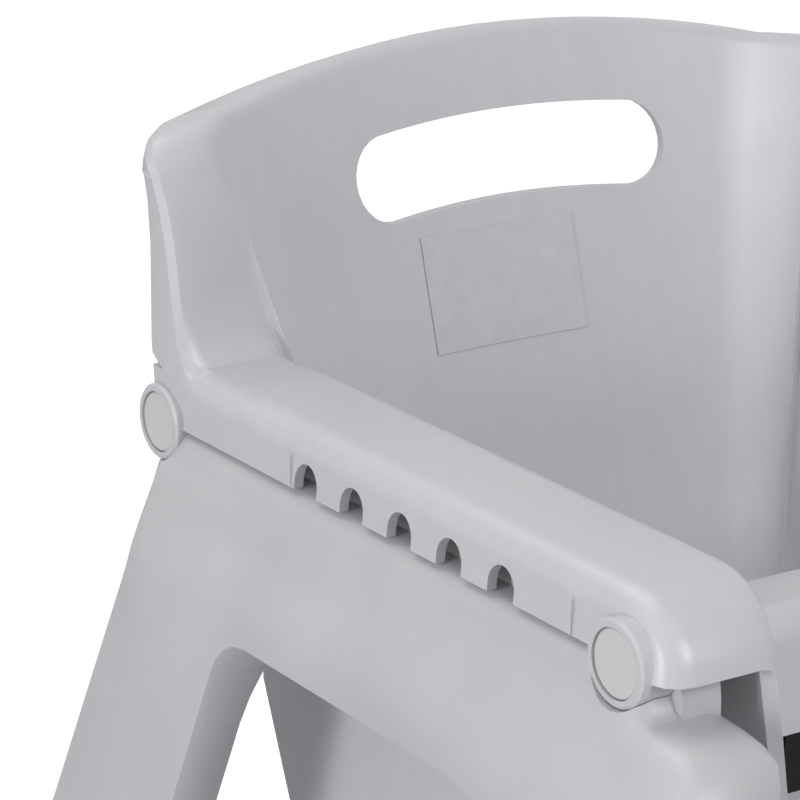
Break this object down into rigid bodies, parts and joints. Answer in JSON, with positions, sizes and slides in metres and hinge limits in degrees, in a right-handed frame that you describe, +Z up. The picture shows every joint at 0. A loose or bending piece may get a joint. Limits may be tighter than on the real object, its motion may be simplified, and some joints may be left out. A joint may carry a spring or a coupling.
{
  "type": "high chair",
  "caption": "Moulded high chair: bucket seat with carry slot and notched arms, bolted to two arched leg frames, with footrest, brace and lap harness.",
  "frame": {"origin": "centre of the footprint, on the floor", "axes": "+Z up; the child faces -Y; +X is to the right in a front view"},
  "size_m": [0.5916, 0.5979, 0.7525],
  "materials": {
    "grey_moulding": "satin moulded, light bluish grey",
    "grey_frame": "satin moulded with a fine grain",
    "grey_cap": "satin, neutral grey",
    "zinc_steel": "zinc plated",
    "glide_rubber": "matte, dark grey",
    "label_film": "thin blank film",
    "black_webbing": "woven strap",
    "black_plastic": "moulded with a fine grain"
  },
  "bodies": {
    "chair": {"arm_bolt_left_front": "zinc_steel", "arm_bolt_left_rear": "zinc_steel", "arm_bolt_right_front": "zinc_steel", "arm_bolt_right_rear": "zinc_steel", "arm_nut_left_front": "zinc_steel", "arm_nut_left_rear": "zinc_steel", "arm_nut_right_front": "zinc_steel", "arm_nut_right_rear": "zinc_steel", "brace_left_bolt": "zinc_steel", "brace_left_nut": "zinc_steel", "brace_right_bolt": "zinc_steel", "brace_right_nut": "zinc_steel", "buckle_housing": "black_plastic", "cap_left_front": "grey_cap", "cap_left_rear": "grey_cap", "cap_right_front": "grey_cap", "cap_right_rear": "grey_cap", "crotch_anchor_plate": "zinc_steel", "crotch_anchor_screw": "zinc_steel", "crotch_strap": "black_webbing", "footrest": "grey_frame", "footrest_left_a_bolt": "zinc_steel", "footrest_left_a_nut": "zinc_steel", "footrest_left_b_bolt": "zinc_steel", "footrest_left_b_nut": "zinc_steel", "footrest_right_a_bolt": "zinc_steel", "footrest_right_a_nut": "zinc_steel", "footrest_right_b_bolt": "zinc_steel", "footrest_right_b_nut": "zinc_steel", "glide_left_front": "glide_rubber", "glide_left_rear": "glide_rubber", "glide_right_front": "glide_rubber", "glide_right_rear": "glide_rubber", "label_plate": "label_film", "lap_strap_left": "black_webbing", "lap_strap_right": "black_webbing", "left_leg_frame": "grey_frame", "rear_brace": "grey_frame", "right_leg_frame": "grey_frame", "seat_shell": "grey_moulding", "strap_screw_left": "zinc_steel", "strap_screw_right": "zinc_steel", "strap_washer_left": "zinc_steel", "strap_washer_right": "zinc_steel"},
    "buckle_tongue": {"buckle_tongue": "black_plastic"},
    "buckle_button": {"buckle_button": "black_plastic"},
    "strap_adjuster_left": {"strap_adjuster_left": "black_plastic"},
    "strap_adjuster_right": {"strap_adjuster_right": "black_plastic"}
  },
  "joints": [
    {"name": "buckle_release", "type": "slide", "parent": "chair", "child": "buckle_tongue", "axis": [0, 0, -1], "range_m": [0, 0.018], "deforming": ["crotch_strap"]},
    {"name": "button_press", "type": "slide", "parent": "chair", "child": "buckle_button", "axis": [0, 1, 0], "range_m": [0, 0.0015], "stiffness_N_per_m": 200, "springref_m": -0.002},
    {"name": "adjuster_left_slide", "type": "slide", "parent": "chair", "child": "strap_adjuster_left", "axis": [-1, 0, 0], "range_m": [-0.005, 0.012]},
    {"name": "adjuster_right_slide", "type": "slide", "parent": "chair", "child": "strap_adjuster_right", "axis": [1, 0, 0], "range_m": [-0.005, 0.012]}
  ]
}
